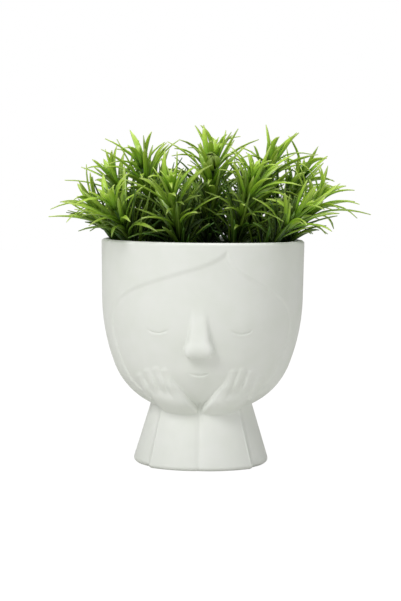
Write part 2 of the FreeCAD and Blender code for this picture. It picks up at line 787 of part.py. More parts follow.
def leaf(line, along):
    """A lance-shaped blade with a keel below, in flats, on its middle line."""
    root, middle, tip = line
    across = Vector(tip - root).cross(along).normalize()

    def section(place, beyond, width, depth):
        down = Vector(beyond - place).cross(across).normalize()
        if down.dot(along) > 0:
            down = -down
        return [place - across * (width / 2), place + across * (width / 2), place + down * depth]

    width = size("leaf_width")
    depth = size("leaf_thickness")
    low = section(root, middle, width * ROOT_WIDTH, depth)
    wide = section(middle, tip, width, depth)
    corners = [
        [low[0], low[1], low[2]],
        [low[0], low[1], wide[1], wide[0]],
        [low[1], low[2], wide[2]],
        [low[1], wide[2], wide[1]],
        [low[2], low[0], wide[0]],
        [low[2], wide[0], wide[2]],
        [wide[0], wide[1], tip],
        [wide[1], wide[2], tip],
        [wide[2], wide[0], tip],
    ]
    faces = [Part.Face(Part.makePolygon(ring_of + ring_of[:1])) for ring_of in corners]
    solid = Part.Solid(Part.Shell(faces))
    if solid.Volume < 0:
        solid.reverse()
    return solid


def whorl_places(sprig):
    """Centres of a sprig's whorls, from the top one down to the lowest that clears the rim."""
    surface, head, along = stem_line(sprig)
    lowest = size("pot_height") + size("leaf_over_rim") + 2 * size("hub_height")
    places = []
    place = head
    while place.z > lowest:
        places.append(place)
        place = place - along * size("whorl_spacing")
    return places


def whorl(place, along, level, start_turn, stem_solid, others):
    """A collar on the stem with its ring of leaves; returns the solid and the leaf lines."""
    turn_up = Rotation(Vector(0, 0, 1), along)
    across = turn_up.multVec(Vector(1, 0, 0))
    upright = turn_up.multVec(Vector(0, 1, 0))
    collar = size("hub_radius")
    half_height = along * (size("hub_height") / 2)
    bottom = ring(place - half_height, across, upright, collar, collar, STEM_SIDES)
    top = ring(place + half_height, across, upright, collar, collar, STEM_SIDES)
    hub = skin([bottom, top], True)
    spread = min(level / OPENING_WHORLS, 1)
    count = int(size("bud_leaf_count") if level == 0 else size("leaf_count"))
    angle = math.radians(size("bud_angle") + (size("leaf_angle") - size("bud_angle")) * spread)
    longest = size("bud_leaf_length") if level == 0 else size("leaf_length")
    lines = []
    blades = []
    for number in range(count):
        turn = start_turn + 2 * math.pi * number / count
        outward = across * math.cos(turn) + upright * math.sin(turn)
        root = place + outward * ((size("stem_radius") + collar) / 2)
        length = longest
        line = leaf_line(root, along, outward, angle, length)
        while not leaf_is_clear(line, others) and length > SHORTEST_LEAF * longest:
            length *= LENGTH_STEP
            line = leaf_line(root, along, outward, angle, length)
        if leaf_is_clear(line, others):
            lines.append(line)
            blades.append(leaf(line, along))
    solid = hub.multiFuse(blades) if blades else hub
    return solid.cut(stem_solid), lines


def sprigs():
    """All stems, and the whorls that grow on each: tops first, then down the stems in turn."""
    stems = [stem(f"sprig_{number:02d}_stem", sprig) for number, sprig in enumerate(SPRIGS, 1)]
    doc.recompute()
    stem_segments = [stem_line(sprig)[:2] for sprig in SPRIGS]
    leaf_segments = []
    whorls = [[] for _ in SPRIGS]
    places = [whorl_places(sprig) for sprig in SPRIGS]
    for level in range(max(len(row) for row in places)):
        for number, sprig in enumerate(SPRIGS):
            if level >= len(places[number]):
                continue
            along = stem_line(sprig)[2]
            others = leaf_segments + stem_segments[:number] + stem_segments[number + 1:]
            start_turn = TURN_BY_SPRIG * number + TURN_BY_WHORL * level
            solid, lines = whorl(
                places[number][level], along, level, start_turn, stems[number].Shape, others
            )
            whorls[number].append(solid)
            for line in lines:
                leaf_segments += list(zip(line, line[1:]))
    leaves = []
    for number, row in enumerate(whorls, 1):
        leaves.append(add_shape(f"sprig_{number:02d}_leaves", Part.makeCompound(row)))
    return stems, leaves


# ---------------------------------------------------------------- check and write the pieces
stems, leaves = sprigs()
pieces = [head_pot(), liner_pot(), foam_block(stems)] + stems + leaves
doc.recompute()

for item in doc.Objects:
    if "Invalid" in item.State or "Error" in item.State:
        raise RuntimeError(f"{item.Label} failed: {item.State}")
for piece in pieces:
    if piece.Shape.isNull() or not piece.Shape.isValid():
        raise RuntimeError(f"{piece.Label} has no valid shape")

os.makedirs("parts", exist_ok=True)
for piece in pieces:
    piece.Shape.exportStep(os.path.join("parts", f"{piece.Label}.step"))
    print(piece.Label, len(piece.Shape.Solids), round(piece.Shape.Volume, 1))
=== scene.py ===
import math
import random
from functools import cache

import bmesh
import bpy
import numpy as np
from mathutils import Matrix, Quaternion, Vector


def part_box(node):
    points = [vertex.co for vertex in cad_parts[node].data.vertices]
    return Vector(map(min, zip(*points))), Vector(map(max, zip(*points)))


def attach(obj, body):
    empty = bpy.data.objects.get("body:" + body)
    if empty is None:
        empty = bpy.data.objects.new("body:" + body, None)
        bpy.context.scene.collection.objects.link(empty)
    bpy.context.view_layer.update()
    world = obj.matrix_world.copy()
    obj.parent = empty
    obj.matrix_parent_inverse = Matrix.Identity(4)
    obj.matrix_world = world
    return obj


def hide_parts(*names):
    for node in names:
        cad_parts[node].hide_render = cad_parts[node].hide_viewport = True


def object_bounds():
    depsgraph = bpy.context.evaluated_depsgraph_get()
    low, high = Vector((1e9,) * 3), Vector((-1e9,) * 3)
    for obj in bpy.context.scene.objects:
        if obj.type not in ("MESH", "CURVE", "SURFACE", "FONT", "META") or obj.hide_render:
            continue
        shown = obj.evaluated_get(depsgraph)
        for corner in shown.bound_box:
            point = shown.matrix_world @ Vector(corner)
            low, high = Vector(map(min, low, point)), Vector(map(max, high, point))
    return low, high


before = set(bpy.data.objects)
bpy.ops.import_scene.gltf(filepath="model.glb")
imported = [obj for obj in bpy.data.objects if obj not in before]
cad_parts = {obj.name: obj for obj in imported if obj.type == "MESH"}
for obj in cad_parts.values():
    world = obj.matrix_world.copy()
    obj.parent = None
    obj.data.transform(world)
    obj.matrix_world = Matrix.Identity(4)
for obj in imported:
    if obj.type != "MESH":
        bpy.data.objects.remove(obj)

# A small slip-cast head planter: hair, a sleeping face, and two hands that hold up the cheeks,
# with moulded plastic sprigs in a foam block. Sizes are in millimetres and become metres in the
# mesh. The face looks along -Y.

MM = 0.001
cad_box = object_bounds()


# ---------------------------------------------------------------- materials
def linear(hex_colour):
    """sRGB hex, such as "e8e9e4", to the linear colour that a node takes."""
    channels = []
    for start in (0, 2, 4):
        value = int(hex_colour[start:start + 2], 16) / 255
        channels.append(value / 12.92 if value <= 0.04045 else ((value + 0.055) / 1.055) ** 2.4)
    return (*channels, 1.0)


def new_material(name):
    material = bpy.data.materials.new(name)
    material.use_nodes = True
    material.node_tree.nodes.clear()
    return material


def add(material, kind, links=None, **settings):
    """Adds a node: settings name its properties or inputs, and links feed inputs from sockets."""
    node = material.node_tree.nodes.new(kind)
    for key, value in settings.items():
        if hasattr(node, key):
            setattr(node, key, value)
        else:
            node.inputs[key.replace("_", " ")].default_value = value
    for key, source in (links or {}).items():
        material.node_tree.links.new(source, node.inputs[key])
    return node


def ramp(material, source, stops):
    """A colour ramp through (place, colour) stops."""
    node = add(material, "ShaderNodeValToRGB", {"Fac": source})
    elements = node.color_ramp.elements
    while len(elements) < len(stops):
        elements.new(0.5)
    for element, (place, colour) in zip(elements, stops):
        element.position = place
        element.color = colour
    return node.outputs["Color"]


def object_place(material):
    return add(material, "ShaderNodeTexCoord").outputs["Object"]


def grain(material, size_mm, detail=2.0):
    """Noise whose lumps are about size_mm across."""
    return add(
        material,
        "ShaderNodeTexNoise",
        {"Vector": object_place(material)},
        Scale=1 / (size_mm * MM),
        Detail=detail,
    ).outputs["Fac"]


def finish(material, shader):
    output = add(material, "ShaderNodeOutputMaterial")
    material.node_tree.links.new(shader, output.inputs["Surface"])
    return material


def cast_ceramic():
    """Slip-cast earthenware under a matt white glaze: chalky, a touch green, with a faint mottle,
    a dry tooth that softens the light, and a few pinholes."""
    material = new_material("matt_glazed_earthenware")
    mottle_mm, pinhole_mm, tooth_mm, tooth_depth_mm = 14.0, 20.0, 0.9, 0.15
    mottle = grain(material, mottle_mm)
    colour = ramp(material, mottle, [(0.3, linear("e4e7e0")), (0.7, linear("e8eae5"))])
    pores = add(
        material,
        "ShaderNodeTexVoronoi",
        {"Vector": object_place(material)},
        Scale=1 / (pinhole_mm * MM),
    ).outputs["Distance"]
    pinhole = ramp(material, pores, [(0.0, (0.7, 0.7, 0.65, 1)), (0.016, (1, 1, 1, 1))])
    speckled = add(material, "ShaderNodeMix", data_type="RGBA", blend_type="MULTIPLY")
    speckled.inputs["Factor"].default_value = 1.0
    material.node_tree.links.new(colour, speckled.inputs["A"])
    material.node_tree.links.new(pinhole, speckled.inputs["B"])
    tooth = add(
        material,
        "ShaderNodeBump",
        {"Height": grain(material, tooth_mm, 3.0)},
        Strength=0.12,
        Distance=tooth_depth_mm * MM,
    )
    shader = add(
        material,
        "ShaderNodeBsdfPrincipled",
        {"Base Color": speckled.outputs["Result"], "Normal": tooth.outputs["Normal"]},
        Roughness=0.62,
        IOR=1.5,
    )
    return finish(material, shader.outputs["BSDF"])


def leaf_plastic():
    """Injection-moulded polyethylene leaves: yellow-green high on the sprig, near-black green low
    on the stem and at each blade's root, which is partly the leaves' own deeper green and partly
    painted shade inside the tuft; a paler midrib, a waxy sheen, and light that comes through the
    blade."""
    material = new_material("moulded_leaf_polyethylene")
    across = add(material, "ShaderNodeUVMap", uv_map="blade").outputs["UV"]
    parts = add(material, "ShaderNodeSeparateXYZ", {"Vector": across})
    # This attribute is 0 high on the sprig and 1 low on it, and darkens the blade partly for age
    # and partly as painted shade.
    shade_and_age = add(material, "ShaderNodeAttribute", attribute_name="shade_and_age").outputs["Fac"]
    # Each blade runs from a near-black root, partly painted shade inside the tuft, to a
    # yellow-green tip.
    young = ramp(material, parts.outputs["Y"], [
        (0.0, linear("2c4a0d")),
        (0.3, linear("86b82a")),
        (0.75, linear("bde04c")),
        (1.0, linear("d2e87e")),
    ])
    # The same blade darkened for low on the stem: partly older leaves and partly painted shade.
    old_and_shaded_blade = ramp(material, parts.outputs["Y"], [
        (0.0, linear("0d1505")),
        (0.5, linear("20380b")),
        (1.0, linear("3f6a16")),
    ])
    blade = add(material, "ShaderNodeMix", data_type="RGBA")
    material.node_tree.links.new(shade_and_age, blade.inputs["Factor"])
    material.node_tree.links.new(young, blade.inputs["A"])
    material.node_tree.links.new(old_and_shaded_blade, blade.inputs["B"])
    rib = ramp(material, parts.outputs["X"], [
        (0.42, (0, 0, 0, 1)),
        (0.5, (0.3, 0.3, 0.3, 1)),
        (0.58, (0, 0, 0, 1)),
    ])
    ribbed = add(material, "ShaderNodeMix", data_type="RGBA", blend_type="MIX")
    material.node_tree.links.new(rib, ribbed.inputs["Factor"])
    material.node_tree.links.new(blade.outputs["Result"], ribbed.inputs["A"])
    ribbed.inputs["B"].default_value = linear("c8e47c")
    vein = add(
        material,
        "ShaderNodeBump",
        {"Height": grain(material, 0.8)},
        Strength=0.15,
        Distance=0.1 * MM,
    )
    shader = add(
        material,
        "ShaderNodeBsdfPrincipled",
        {"Base Color": ribbed.outputs["Result"], "Normal": vein.outputs["Normal"]},
        Roughness=0.32,
        IOR=1.5,
    )
    through = add(material, "ShaderNodeBsdfTranslucent", {"Color": ribbed.outputs["Result"]})
    both = add(material, "ShaderNodeMixShader", Fac=0.16)
    material.node_tree.links.new(shader.outputs["BSDF"], both.inputs[1])
    material.node_tree.links.new(through.outputs["BSDF"], both.inputs[2])
    return finish(material, both.outputs["Shader"])


def simple_finish(name, dark, light, grain_mm, roughness, depth_mm):
    """A finish of two tones mixed in lumps of grain_mm, with bumps of depth_mm."""
    material = new_material(name)
    noise = grain(material, grain_mm, 4.0)
    colour = ramp(material, noise, [(0.3, linear(dark)), (0.7, linear(light))])
    bump = add(
        material, "ShaderNodeBump", {"Height": noise}, Strength=0.5, Distance=depth_mm * MM
    )
    shader = add(
        material,
        "ShaderNodeBsdfPrincipled",
        {"Base Color": colour, "Normal": bump.outputs["Normal"]},
        Roughness=roughness,
    )
    return finish(material, shader.outputs["BSDF"])


CERAMIC = cast_ceramic()
LEAF = leaf_plastic()
# Moulded polyethylene stems, dark green and slightly waxy.
STEM = simple_finish("moulded_stem_polyethylene", "2c4518", "43662a", 2.0, 0.45, 0.1)
# Thin vacuum-formed polypropylene nursery pot, black with a satin skin.
LINER = simple_finish("satin_black_polypropylene", "161816", "222422", 3.0, 0.42, 0.05)
# Dry florist's foam, dusty green, open-celled.
FOAM = simple_finish("dry_floral_foam", "3d5232", "5c7348", 1.2, 0.95, 0.6)


# ---------------------------------------------------------------- meshes
def make_piece(name, bm, material, body, nodes):
    """Turns a bmesh in millimetres into a named, smooth-shaded piece that rides on a body."""
    bmesh.ops.scale(bm, vec=Vector((MM, MM, MM)), verts=bm.verts)
    mesh = bpy.data.meshes.new(name)
    bm.to_mesh(mesh)
    bm.free()
    for face in mesh.polygons:
        face.use_smooth = True
    mesh.materials.append(material)
    piece = bpy.data.objects.new(name, mesh)
    bpy.context.scene.collection.objects.link(piece)
    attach(piece, body)
    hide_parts(*nodes)
    return piece


def spun(profile, sectors):
    """A (radius, height) profile spun about the vertical axis: sectors are (start, end, steps) in
    degrees from the front."""
    bm = bmesh.new()
    for start, end, steps in sectors:
        chain = []
        for radius, height in profile:
            turn = math.radians(start)
            place = (radius * math.sin(turn), -radius * math.cos(turn), height)
            chain.append(bm.verts.new(place))
        edges = [bm.edges.new(pair) for pair in zip(chain, chain[1:])]
        bmesh.ops.spin(
            bm,
            geom=chain + edges,
            axis=(0, 0, 1),
            cent=(0, 0, 0),
            angle=math.radians(end - start),
            steps=steps,
        )
    bmesh.ops.remove_doubles(bm, verts=bm.verts, dist=0.001)
    bmesh.ops.recalc_face_normals(bm, faces=bm.faces)
    return bm


def arc_points(centre, radius, start, end, steps):
    """(radius, height) points round an arc, both ends in, angles in degrees."""
    points = []
    for number in range(steps + 1):
        turn = math.radians(start + (end - start) * number / steps)
        points.append((centre[0] + radius * math.cos(turn), centre[1] + radius * math.sin(turn)))
    return points


# ---------------------------------------------------------------- the pot's form
pot_low, pot_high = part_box("head_pot")
POT_HEIGHT = (pot_high.z - pot_low.z) / MM
RIM_RADIUS = 63.0
BROW = (62.4, 104.0)
NECK = (31.5, 38.0)
FOOT_RADIUS = 43.0
CHEEK_CENTRE, CHEEK_RADIUS = (-57.9, 106.0), 120.3
JAW_CENTRE, JAW_RADIUS = (12.3, 78.7), 45.0
WALL = 4.0
FLOOR = 5.0
FOOT_ROUND = 2.2
HAIR_FOOT_ROUND = 4.4
RIM_ROUND = 1.7
CREASE_SOFTNESS = 1.0       # fillet between the bowl and the flared base
HAIR_STEP = 0.9             # how deep the face lies below the hair
HAIR_SOFTNESS = 1.5         # half width of that step's slope
HAIR_EDGE = 1.2             # width over which the foot's rounding changes at the hairline
PLAIN_BACK = -9.0           # stands for "deep in the hair" behind the head
TRACE_ROUNDS = 60           # steps towards a surface, each this share of the distance left
TRACE_SHARE = 0.8
TRACE_START = 13.0          # farther out from the plain wall than any form on it


def smooth_low(first, second, soft):
    """The lower of two distances, blended over soft: a filleted union."""
    share = np.clip(0.5 + 0.5 * (second - first) / soft, 0, 1)
    return second + (first - second) * share - soft * share * (1 - share)


def smooth_high(first, second, soft):
    """The higher of two distances, blended over soft: a rounded edge."""
    return -smooth_low(-first, -second, soft)


def eased(share):
    """A smooth step from 0 to 1 as the share goes from 0 to 1."""
    share = np.clip(share, 0, 1)
    return share * share * (3 - 2 * share)


def turned_distance(radius, height, bowl_rise=0.0, base_rise=0.0):
    """Distance from the pot's turned outside, its bowl and its flared base raised by so much."""
    lean = (RIM_RADIUS - BROW[0]) / (POT_HEIGHT - BROW[1])
    wall = radius - BROW[0] - lean * (height - BROW[1])
    cheek = np.hypot(radius - CHEEK_CENTRE[0], height - CHEEK_CENTRE[1]) - CHEEK_RADIUS
    jaw = np.hypot(radius - JAW_CENTRE[0], height - JAW_CENTRE[1]) - JAW_RADIUS
    split = (JAW_CENTRE[0] - CHEEK_CENTRE[0], JAW_CENTRE[1] - CHEEK_CENTRE[1])
    below = (height - CHEEK_CENTRE[1]) * split[0] < (radius - CHEEK_CENTRE[0]) * split[1]
    bowl = np.where(below, jaw, np.where(height > BROW[1], wall, cheek))
    run = (FOOT_RADIUS - NECK[0], -NECK[1])
    length = math.hypot(*run)
    base = ((radius - NECK[0]) * -run[1] + (height - NECK[1]) * run[0]) / length
    return smooth_low(bowl - bowl_rise, base - base_rise, CREASE_SOFTNESS)


def wall_radius(height):
    """Radius of the plain turned outside at a height."""
    height = np.asarray(height, float)
    radius = np.full(height.shape, RIM_RADIUS)
    for _ in range(TRACE_ROUNDS):
        radius = radius - TRACE_SHARE * turned_distance(radius, height)
    return radius


# The hairline, x against height, from the parting down to the foot on each side of the face.
LEFT_HAIRLINE = [
    (31.6, -1.0), (23.8, 38.0), (40.0, 52.0), (50.5, 72.0), (54.0, 90.0), (52.6, 99.0),
    (48.6, 105.5), (41.4, 110.8), (29.4, 115.8), (17.6, 119.8), (7.8, 122.9), (-1.9, 126.0),
    (-9.8, 129.5), (-16.0, 134.0),
]
RIGHT_HAIRLINE = [
    (33.4, -1.0), (24.0, 38.0), (40.0, 52.0), (50.5, 72.0), (54.8, 90.0), (54.0, 97.0),
    (50.2, 104.5), (42.5, 111.3), (33.5, 116.7), (23.5, 122.9), (18.0, 129.0), (16.0, 134.0),
]


def along_line(points, height):
    """x of a hairline at a height, and its slope: straight up to the crease, and above it on a
    smooth curve through its points."""
    xs = np.array([x for x, _ in points])
    heights = np.array([z for _, z in points])
    slopes = np.gradient(xs, heights)
    straight = (xs[1] - xs[0]) / (heights[1] - heights[0])
    slopes[1] = (xs[2] - xs[1]) / (heights[2] - heights[1])
    upper = np.clip(np.searchsorted(heights, height), 2, len(heights) - 1)
    low, high = heights[upper - 1], heights[upper]
    span = high - low
    share = np.clip((height - low) / span, 0, 1)
    near = (1 + 2 * share) * (1 - share) ** 2
    far = share * share * (3 - 2 * share)
    start = share * (1 - share) ** 2 * span
    end = share * share * (share - 1) * span
    x = near * xs[upper - 1] + far * xs[upper] + start * slopes[upper - 1] + end * slopes[upper]
    slope = slopes[upper - 1] * (1 - share) + slopes[upper] * share
    below = height < heights[1]
    return (
        np.where(below, xs[1] + (height - heights[1]) * straight, x),
        np.where(below, straight, slope),
    )


def inside_hairline(x, y, z):
    """How far a place lies inside the hairline, over the surface; negative in the hair."""
    left, left_slope = along_line(LEFT_HAIRLINE, z)
    right, right_slope = along_line(RIGHT_HAIRLINE, z)
    facing = np.clip(-y / np.maximum(np.hypot(x, y), 1), 0.3, 1)
    from_left = (x + left) / np.sqrt(1 + left_slope**2) / facing
    from_right = (right - x) / np.sqrt(1 + right_slope**2) / facing
    inside = np.minimum(from_left, from_right)
    parting_x, parting = RIGHT_HAIRLINE[-1]
    above = -np.hypot(x - parting_x, z - parting)
    inside = np.where(z > parting, above, inside)
    return np.where(y > 0, PLAIN_BACK, inside)


# Drawn lines of the face: middle x, lowest height, width, sag.
DRAWN_LINES = [
    (-25.4, 85.2, 13.2, 2.2),
    (25.4, 85.2, 13.2, 2.2),
    (0.0, 59.6, 11.6, 1.5),
]
LINE_DEPTH = 0.6
LINE_HALF = 0.55            # half width of a groove
LINE_WHOLE = 0.6            # share of a line's half width over which it is whole
LINE_FADE = 0.5             # share over which it then fades
LIP_RISE = 0.12             # the lip under a groove: its rise, its drop and its half width
LIP_DROP = 1.2
LIP_HALF = 1.6 * LINE_HALF
# Soft swellings of the cast face: middle x, height, half width, half height, rise.
SWELLINGS = [
    (0.0, 61.6, 8.0, 5.0, 0.6),
    (-27.0, 90.5, 9.0, 5.0, 0.35),
    (27.0, 90.5, 9.0, 5.0, 0.35),
]


def drawn_relief(x, z):
    """Height of the drawn lids and smile, a groove with a soft lip under it, and of the lips and
    lids that swell round them."""
    relief = np.zeros_like(x)
    for middle, low, width, sag in DRAWN_LINES:
        share = (x - middle) / (width / 2)
        slope = 2 * sag * share / (width / 2)
        across = (z - low - sag * share**2) / np.sqrt(1 + slope**2)
        fade = 1 - eased((np.abs(share) - LINE_WHOLE) / LINE_FADE)
        groove = np.exp(-(across / LINE_HALF) ** 2) * LINE_DEPTH
        lip = np.exp(-((across + LIP_DROP) / LIP_HALF) ** 2) * LIP_RISE
        relief += (lip - groove) * fade
    for middle, height, half_width, half_height, rise in SWELLINGS:
        away = ((x - middle) / half_width) ** 2 + ((z - height) / half_height) ** 2
        relief += np.exp(-away) * rise
    return relief


@cache
def over_face(x, height, rise):
    """A place rise above the face's surface, at x in front view."""
    radius = float(wall_radius(height)) - HAIR_STEP
    step = float(wall_radius(height + 1)) - float(wall_radius(height - 1))
    out = Vector((x, -math.sqrt(radius**2 - x**2), 0)).normalized()
    normal = (out * 2 + Vector((0, 0, -step))).normalized()
    return Vector((x, -math.sqrt(radius**2 - x**2), height)) + normal * rise


def rod(x, y, z, start, end, radius):
    """Distance from a round-ended rod between two places."""
    run = end - start
    share = ((x - start.x) * run.x + (y - start.y) * run.y + (z - start.z) * run.z) / run.dot(run)
    share = np.clip(share, 0, 1)
    away = np.sqrt(
        (x - start.x - run.x * share) ** 2
        + (y - start.y - run.y * share) ** 2
        + (z - start.z - run.z * share) ** 2
    )
    return away - radius


# The nose: heights of its bridge, tip and lip, its reach out of the face, half widths and rounds.
NOSE_TOP = 100.5
NOSE_TIP = 75.8
NOSE_FOOT = 73.2
NOSE_REACH = 8.2
NOSE_HALF_FRONT = 4.4
NOSE_TAPER = 0.07           # how much its half width grows for each mm down
NOSE_HALF_FOOT = 6.6
NOSE_ROUND = 3.0
NOSE_UNDER_ROUND = 4.6
NOSTRIL_X = 4.7
NOSTRIL_HEIGHT = 75.5
NOSTRIL_RADIUS = 3.8
NOSTRIL_RISE = 3.7
NOSTRIL_JOIN = 4.0          # fillets of the nostrils on the nose, and of the nose on the face
NOSE_JOIN = 1.2


@cache
def nose_corners():
    """The wedge's corners in side view, (y, height): brow, tip and lip."""
    lip = -(float(wall_radius(NOSE_FOOT)) - HAIR_STEP)
    tip = -(float(wall_radius(NOSE_TIP)) - HAIR_STEP + NOSE_REACH)
    brow = -(float(wall_radius(NOSE_TOP)) - HAIR_STEP)
    return (brow, NOSE_TOP), (tip, NOSE_TIP), (lip, NOSE_FOOT)


def nose(x, y, z):
    """A wedge of four planes with soft edges, and a round bar across its foot for the nostrils."""

    def plane(near, far):
        run = (far[0] - near[0], far[1] - near[1])
        length = math.hypot(*run)
        return ((y - near[0]) * run[1] - (z - near[1]) * run[0]) / length

    brow, tip, lip = nose_corners()
    front = plane(brow, tip)
    flare = (NOSE_HALF_FOOT - NOSE_HALF_FRONT) / NOSE_REACH
    depth = np.maximum(front, -2 * NOSE_REACH)
    half = NOSE_HALF_FRONT + NOSE_TAPER * (NOSE_TOP - z)
    side = (np.abs(x) - half + depth * flare) / math.hypot(1, flare)
    wedge = smooth_high(smooth_high(front, side, NOSE_ROUND), plane(tip, lip), NOSE_UNDER_ROUND)
    bar_end = over_face(NOSTRIL_X, NOSTRIL_HEIGHT, NOSTRIL_RISE)
    bar_start = Vector((-bar_end.x, bar_end.y, bar_end.z))
    bar = rod(x, y, z, bar_start, bar_end, NOSTRIL_RADIUS)
    return smooth_low(wedge, bar, NOSTRIL_JOIN)


# Fingers of one hand from the mouth outwards, in front view: tip x and height, root x and height.
FINGERS = [
    (20.9, 61.2, 14.4, 45.6),
    (26.3, 62.0, 19.6, 45.8),
    (31.7, 60.2, 25.0, 45.2),
    (36.8, 56.8, 30.0, 43.6),
]
FINGER_RADIUS = 3.3
FINGER_RISE = 2.7
FINGER_CREST = 1.15         # over 1, so that the finger's back is broad
TIP_SHARE = 0.35            # rise of a fingertip, in rises of the finger
TIP_START = 0.35            # share of the finger from which it falls to the tip
TIP_FALL = 0.65
INNER_EDGE = ((0.9, 38.5), (18.4, 60.4))     # the palm's edge beside the chin
OUTER_EDGE = ((25.7, 36.0), (36.6, 52.5))    # its edge towards the hair
PALM_CREASE = 2.0           # softness where the two edges meet
PALM_EDGE = (0.62, 3.4)     # share of the rise, and how far inside the edge it is reached
PALM_BACK = (0.38, 10.0)
PALM_RISE = 3.5
HEEL_RISE = 6.2
EDGE_WIDTH = (3.0, 8.0)     # the strip beside the inner edge that runs on up to the first finger
EDGE_LIFT = 14.0            # how much higher that strip reaches than the palm
EDGE_TOP = 61.0             # where it has faded out, and over what height it fades
EDGE_FADE = 10.0
PALM_TOP = (43.0, 60.0)     # heights between which the palm fades into the fingers
HEEL_TOP = (39.0, 51.0)     # heights between which the heel thins to the palm
FINGER_JOIN = 1.3           # softness where the fingers run into the palm


def beside_line(line, x, z, side):
    """How far a place lies to one side (+1 right, -1 left) of a line drawn upwards."""
    (low_x, low), (high_x, high) = line
    run_x, run = high_x - low_x, high - low
    return side * ((x - low_x) * run - (z - low) * run_x) / math.hypot(run_x, run)


def rounded(inside, reach):
    """0 at an edge to 1 at reach inside it, like the back of a soft-edged plate."""
    share = np.clip(inside / reach, 0, 1)
    return share * (2 - share)


def hand_relief(x, z):
    """How far the two hands stand out of the cheeks; x may have either sign."""
    x = np.abs(x)
    fingers = np.zeros_like(x)
    for tip_x, tip, root_x, root in FINGERS:
        run_x, run = tip_x - root_x, tip - root
        share = ((x - root_x) * run_x + (z - root) * run) / (run_x**2 + run**2)
        share = np.clip(share, 0, 1)
        away = np.hypot(x - root_x - run_x * share, z - root - run * share)
        rise = FINGER_RISE * (1 - (1 - TIP_SHARE) * eased((share - TIP_START) / TIP_FALL))
        fingers = np.maximum(fingers, rise * eased(FINGER_CREST - away / FINGER_RADIUS))
    inner = beside_line(INNER_EDGE, x, z, 1)
    outer = beside_line(OUTER_EDGE, x, z, -1)
    inside = smooth_low(inner, outer, PALM_CREASE)
    plate = PALM_EDGE[0] * rounded(inside, PALM_EDGE[1])
    plate = plate + PALM_BACK[0] * rounded(inside, PALM_BACK[1])
    heel = eased((HEEL_TOP[1] - z) / (HEEL_TOP[1] - HEEL_TOP[0]))
    strip = 1 - eased((inner - EDGE_WIDTH[0]) / (EDGE_WIDTH[1] - EDGE_WIDTH[0]))
    fade = eased((PALM_TOP[1] + EDGE_LIFT * strip - z) / (PALM_TOP[1] - PALM_TOP[0]))
    fade = fade * eased((EDGE_TOP - z) / EDGE_FADE)
    palm = plate * (PALM_RISE + (HEEL_RISE - PALM_RISE) * heel) * fade
    return smooth_high(fingers, palm, FINGER_JOIN)


CUFF_RISE = 1.3             # how far an arm stands out at the foot and at the wrist
WRIST_RISE = 2.0
ARM_GROOVE = [(1.7, 0.5), (6.0, 0.6)]   # between the arms: half width and depth of two grooves
ARM_STEP = 3.2              # width of the slope from the hair up to the arm
BEAD_INSIDE = 0.7           # the bead: how far inside the hairline, its half width and rise
BEAD_HALF = 0.55
BEAD_RISE = 0.5


def arm_relief(x, z, inside):
    """How far the forearms stand out of the flared base, with a bead along the hair."""
    share = np.clip(z / NECK[1], 0, 1)
    rise = CUFF_RISE + (WRIST_RISE - CUFF_RISE) * share
    for half_width, depth in ARM_GROOVE:
        rise = rise - depth * np.exp(-(x / half_width) ** 2)
    bead = np.exp(-((inside - BEAD_INSIDE) / BEAD_HALF) ** 2) * BEAD_RISE
    return rise * eased(0.5 + inside / ARM_STEP) + bead


def head_distance(x, y, z):
    """Distance from the finished outside of the head."""
    inside = inside_hairline(x, y, z)
    front = np.where(y < 0, 1.0, 0.0)
    sunk = HAIR_STEP * eased(0.5 + inside / (2 * HAIR_SOFTNESS))
    bowl_rise = front * (drawn_relief(x, z) + hand_relief(x, z)) - sunk
    body = turned_distance(np.hypot(x, y), z, bowl_rise, front * arm_relief(x, z, inside))
    return smooth_low(body, nose(x, y, z), NOSE_JOIN)


def sculpted_radius(turn, height):
    """Radius of the finished outside at bearings from the front (radians) and heights."""
    radius = wall_radius(height) + TRACE_START
    for _ in range(TRACE_ROUNDS):
        x = radius * np.sin(turn)
        y = -radius * np.cos(turn)
        radius = radius - TRACE_SHARE * head_distance(x, y, height)
    return radius


# Bands of the outside's rows, closer together over the face and the hands: low, high, spacing.
WALL_BANDS = [
    (FOOT_ROUND, 5.0, 0.5),
    (5.0, 30.0, 1.2),
    (30.0, 64.0, 0.42),
    (64.0, 90.0, 0.48),
    (90.0, POT_HEIGHT - RIM_ROUND, 0.95),
]
# Sectors of the spun wall, finer at the front: start and end in degrees from it, steps.
WALL_SECTORS = [(-52, 52, 256), (52, 84, 34), (84, 276, 64), (276, 308, 34)]
FRONT_HALF = 1.6            # radians on each side of the front that are sculpted
INSIDE_STEP = 6             # spacing of the rows down the pot's inside


def wall_rows():
    """Heights of the pot's outside rows."""
    rows = []
    for low, high, step in WALL_BANDS:
        count = round((high - low) / step)
        rows += [low + (high - low) * number / count for number in range(count)]
    return rows + [WALL_BANDS[-1][1]]


def pot_profile():
    """(radius, height) round half of the pot's section, from the foot's middle to the floor's."""
    rows = wall_rows()
    outer = [(float(radius), height) for radius, height in zip(wall_radius(rows), rows)]
    foot_centre = (outer[0][0] - FOOT_ROUND, FOOT_ROUND)
    rim_outer = (outer[-1][0] - RIM_ROUND, POT_HEIGHT - RIM_ROUND)
    rim_inner = (outer[-1][0] - WALL + RIM_ROUND, POT_HEIGHT - RIM_ROUND)
    inner_heights = [POT_HEIGHT - INSIDE_STEP * step for step in range(1, 22)]
    inner = [(float(wall_radius(z)) - WALL, z) for z in inner_heights if z > FLOOR + 4]
    profile = [(0.0, 0.0)]
    profile += arc_points(foot_centre, FOOT_ROUND, -90, 0, 5)[:-1]
    profile += outer
    profile += arc_points(rim_outer, RIM_ROUND, 0, 90, 6)[1:]
    profile += arc_points(rim_inner, RIM_ROUND, 90, 180, 6)
    return profile + inner + [(inner[-1][0] - 1.0, FLOOR), (0.0, FLOOR)]


